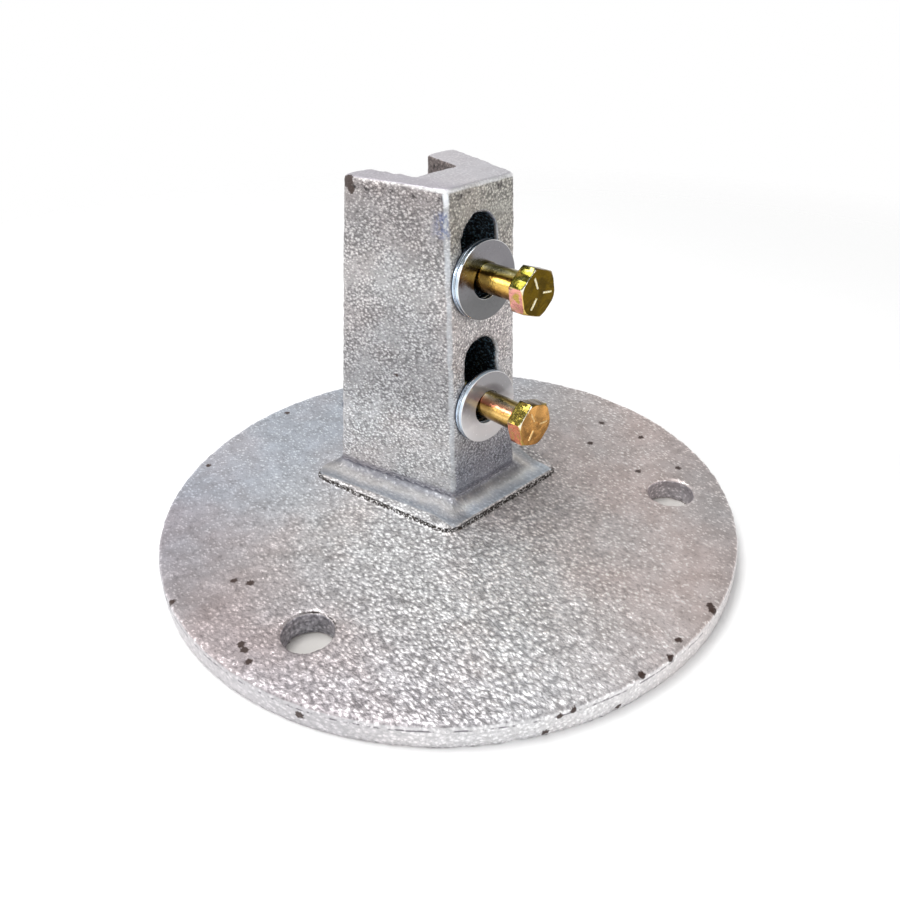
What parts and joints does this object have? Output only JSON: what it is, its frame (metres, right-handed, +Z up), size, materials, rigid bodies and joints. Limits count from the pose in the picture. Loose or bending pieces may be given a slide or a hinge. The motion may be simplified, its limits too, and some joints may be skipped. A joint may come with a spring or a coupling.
{
  "type": "surface mount base",
  "caption": "Round cast ground plate with a hollow, flared, slotted upright that clamps a post with hex bolts and washers on a bar.",
  "frame": {"origin": "centre of the round plate's underside, on the ground", "axes": "+Z up, along the upright; the slotted wall and the bolts' heads face -Y, and the socket is open towards +Y and at the top"},
  "size_m": [0.2286, 0.2286, 0.135],
  "materials": {
    "galvanised_casting": "hot-dip zinc over a rough cast skin, satin with small bright grains",
    "yellow_zinc_steel": "glossy yellow zinc plate",
    "bright_zinc_steel": "bright zinc plate"
  },
  "bodies": {
    "root": {"base_casting": "galvanised_casting", "upper_bolt": "yellow_zinc_steel", "lower_bolt": "yellow_zinc_steel", "upper_washer_outer": "bright_zinc_steel", "upper_washer_inner": "bright_zinc_steel", "lower_washer_outer": "bright_zinc_steel", "lower_washer_inner": "bright_zinc_steel", "clamp_bar": "bright_zinc_steel"}
  },
  "joints": []
}
